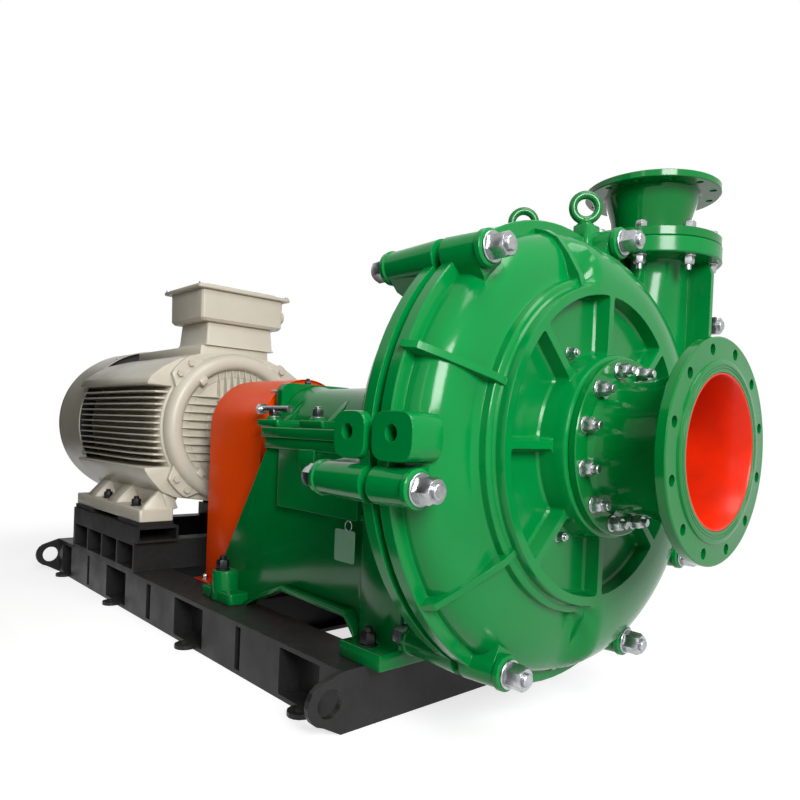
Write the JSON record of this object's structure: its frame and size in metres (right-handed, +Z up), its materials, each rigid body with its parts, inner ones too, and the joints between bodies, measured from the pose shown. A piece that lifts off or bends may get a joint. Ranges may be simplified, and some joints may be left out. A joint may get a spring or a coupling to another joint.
{
  "type": "slurry pump set",
  "caption": "Horizontal split-case slurry pump with shaft bearing bracket, coupling guard and foot-mounted electric motor on a lifting skid.",
  "frame": {"origin": "underside of the middle skid cross beam, on the shaft's centre plane", "axes": "+X along the shaft toward the suction flange, +Y toward the discharge side, +Z up"},
  "size_m": [3.085, 1.205, 1.409],
  "materials": {
    "casing_enamel": "glossy green enamel on castings and fabrications",
    "guard_enamel": "satin orange enamel on sheet steel",
    "motor_enamel": "semi-gloss warm grey enamel on cast iron",
    "skid_paint": "satin charcoal paint on welded steel",
    "zinc_steel": "bright zinc-plated fastener steel",
    "bright_steel": "machined bright steel",
    "white_iron": "wear-resistant cast iron, as cast and machined",
    "electrical_steel": "stacked electrical steel sheets",
    "packing_yarn": "braided seal packing",
    "fan_plastic": "black moulded fan",
    "suction_lining": "smooth red lining"
  },
  "bodies": {
    "base": {"cable_gland": "motor_enamel", "coupling_guard": "guard_enamel", "discharge_spool": "casing_enamel", "eyebolt_front": "casing_enamel", "eyebolt_rear": "casing_enamel", "front_casing": "casing_enamel", "front_liner": "white_iron", "motor_bearing_front": "bright_steel", "motor_bearing_rear": "bright_steel", "motor_cowl": "motor_enamel", "motor_frame": "motor_enamel", "motor_shield_front": "motor_enamel", "motor_shield_rear": "motor_enamel", "packing": "packing_yarn", "pump_bracket": "casing_enamel", "rear_casing": "casing_enamel", "rear_liner": "white_iron", "skid_beam_left": "skid_paint", "skid_beam_right": "skid_paint", "skid_cross_middle": "skid_paint", "skid_cross_motor": "skid_paint", "skid_end_front": "skid_paint", "skid_end_rear": "skid_paint", "stand_beam_left": "skid_paint", "stand_beam_right": "skid_paint", "stand_cross_front": "skid_paint", "stand_cross_rear": "skid_paint", "stand_rail_left": "skid_paint", "stand_rail_right": "skid_paint", "stator_core": "electrical_steel", "stuffing_box": "casing_enamel", "suction_adapter": "casing_enamel", "suction_lining": "suction_lining", "terminal_box": "motor_enamel", "terminal_lid": "motor_enamel", "terminal_riser": "motor_enamel", "tie_bolt_1": "zinc_steel", "tie_bolt_2": "zinc_steel", "tie_bolt_3": "zinc_steel", "tie_bolt_4": "zinc_steel", "tie_bolt_5": "zinc_steel", "tie_bolt_6": "zinc_steel", "tie_bolt_7": "zinc_steel", "volute_liner": "white_iron"},
    "bearing_cartridge": {"bearing_housing": "casing_enamel", "bearing_cover_front": "casing_enamel", "bearing_cover_rear": "casing_enamel", "pump_bearing_front": "bright_steel", "pump_bearing_rear": "bright_steel", "adjusting_screw": "zinc_steel"},
    "pump_rotor": {"pump_shaft": "bright_steel", "shaft_sleeve": "bright_steel", "impeller": "white_iron", "coupling_pump_half": "white_iron"},
    "motor_rotor": {"motor_shaft": "bright_steel", "rotor_core": "electrical_steel", "motor_fan": "fan_plastic", "coupling_motor_half": "white_iron"},
    "gland": {"gland_follower": "white_iron"}
  },
  "joints": [
    {"name": "bearing_adjust", "type": "slide", "parent": "base", "child": "bearing_cartridge", "axis": [1, 0, 0], "range_m": [-0.003, 0.003]},
    {"name": "pump_shaft_spin", "type": "hinge", "parent": "bearing_cartridge", "child": "pump_rotor", "pos_m": [0.3, 0, 0.693], "axis": [1, 0, 0], "continuous": true},
    {"name": "motor_rotor_spin", "type": "hinge", "parent": "base", "child": "motor_rotor", "pos_m": [-0.9, 0, 0.693], "axis": [1, 0, 0], "continuous": true},
    {"name": "gland_slide", "type": "slide", "parent": "base", "child": "gland", "axis": [-1, 0, 0], "range_m": [0, 0.012]}
  ],
  "couplings": [
    {"joint": "pump_shaft_spin", "follows": "motor_rotor_spin", "ratio": 1}
  ]
}
